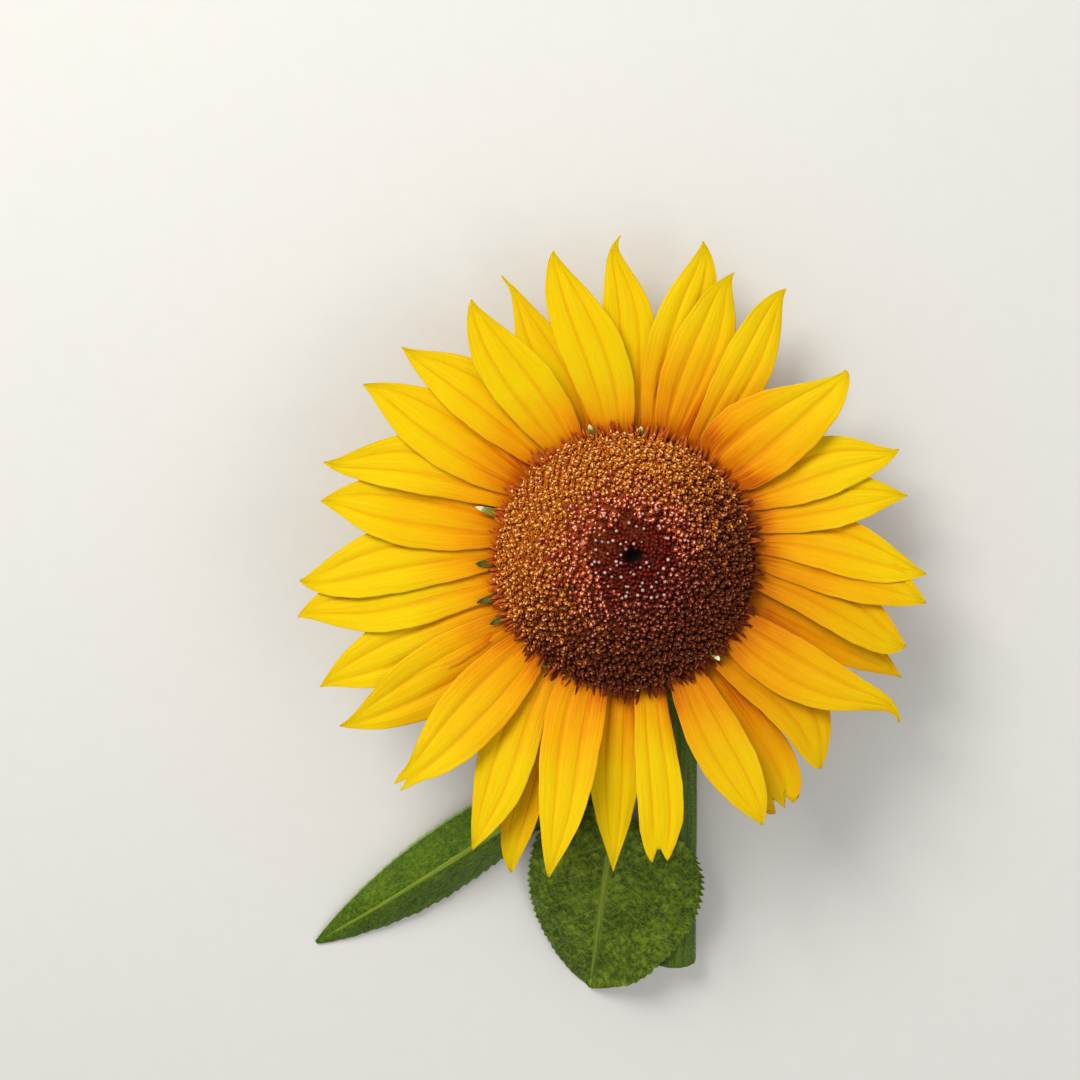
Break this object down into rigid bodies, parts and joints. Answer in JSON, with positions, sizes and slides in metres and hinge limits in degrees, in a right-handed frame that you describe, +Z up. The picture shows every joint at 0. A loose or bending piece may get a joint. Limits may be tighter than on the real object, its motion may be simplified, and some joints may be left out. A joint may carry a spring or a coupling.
{
  "type": "cut sunflower bloom",
  "caption": "Cut sunflower lying face up: a domed brown disc ringed by pointed yellow petals over green bracts, on a nodding neck and a short stem with leaves.",
  "frame": {"origin": "on the surface it lies on, under the centre of the bounding box", "axes": "+Y from the stem's cut end towards the bloom, +Z up, +X to the right as seen from above with the cut end nearest"},
  "size_m": [0.3014, 0.3916, 0.1041],
  "materials": {
    "stem": "rough hairy green stem",
    "bracts": "matt hairy green",
    "disc": "matt brown florets",
    "ray": "satin yellow petal",
    "leaf": "satin green leaf"
  },
  "bodies": {
    "root": {"stem": "stem", "neck": "stem", "involucre": "bracts", "disc": "disc", "leaf_left": "leaf", "leaf_front": "leaf", "ray_01": "ray", "ray_02": "ray", "ray_03": "ray", "ray_04": "ray", "ray_05": "ray", "ray_06": "ray", "ray_07": "ray", "ray_08": "ray", "ray_09": "ray", "ray_10": "ray", "ray_11": "ray", "ray_12": "ray", "ray_13": "ray", "ray_14": "ray", "ray_15": "ray", "ray_16": "ray", "ray_17": "ray", "ray_18": "ray", "ray_19": "ray", "ray_20": "ray", "ray_21": "ray", "ray_22": "ray", "ray_23": "ray", "ray_24": "ray", "ray_25": "ray", "ray_26": "ray", "ray_27": "ray", "ray_28": "ray", "ray_29": "ray", "ray_30": "ray", "ray_31": "ray", "ray_32": "ray"}
  },
  "joints": []
}
